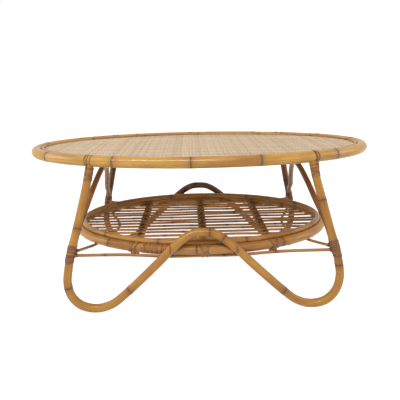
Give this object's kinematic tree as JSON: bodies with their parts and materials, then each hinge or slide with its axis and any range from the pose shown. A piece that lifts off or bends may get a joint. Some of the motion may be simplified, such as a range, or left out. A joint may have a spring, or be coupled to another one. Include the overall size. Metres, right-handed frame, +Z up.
{
  "type": "wicker coffee table",
  "caption": "Oval rattan coffee table: woven top in a pole rim, on two continuous bent-pole leg frames that sling an oval slatted shelf between them.",
  "frame": {"origin": "middle of the table on the floor", "axes": "+X along the table's length, +Y from front to back, +Z up"},
  "size_m": [1.2, 0.6676, 0.4782],
  "materials": {
    "pole": "peeled rattan pole, honey stain under gloss lacquer",
    "rod": "thin rattan rod, darker honey stain under satin lacquer",
    "peel": "flat rattan peel wound tight, lacquered",
    "weave": "close plain weave of pale split rattan, matt",
    "board": "plain plywood"
  },
  "bodies": {
    "root": {"bow_back": "rod", "bow_front": "rod", "bow_left": "rod", "bow_right": "rod", "crossbar_1": "rod", "crossbar_2": "rod", "crossbar_3": "rod", "edge_bead": "pole", "lashing_back_1": "peel", "lashing_back_2": "peel", "lashing_back_3": "peel", "lashing_front_1": "peel", "lashing_front_2": "peel", "lashing_front_3": "peel", "leg_binding_back_left": "peel", "leg_binding_back_right": "peel", "leg_binding_front_left": "peel", "leg_binding_front_right": "peel", "leg_frame_back": "pole", "leg_frame_front": "pole", "rim": "pole", "rim_binding_back_left": "peel", "rim_binding_back_right": "peel", "rim_binding_front_left": "peel", "rim_binding_front_right": "peel", "ring_binding_back_left": "peel", "ring_binding_back_right": "peel", "ring_binding_front_left": "peel", "ring_binding_front_right": "peel", "ring_splice": "peel", "shelf_ring": "pole", "shelf_trim": "pole", "slat_01": "rod", "slat_02": "rod", "slat_03": "rod", "slat_04": "rod", "slat_05": "rod", "slat_06": "rod", "slat_07": "rod", "slat_08": "rod", "slat_09": "rod", "slat_10": "rod", "slat_11": "rod", "slat_12": "rod", "slat_13": "rod", "slat_14": "rod", "slat_15": "rod", "slat_16": "rod", "slat_17": "rod", "stay_left": "pole", "stay_right": "pole", "top_board": "board", "woven_mat": "weave"}
  },
  "joints": []
}
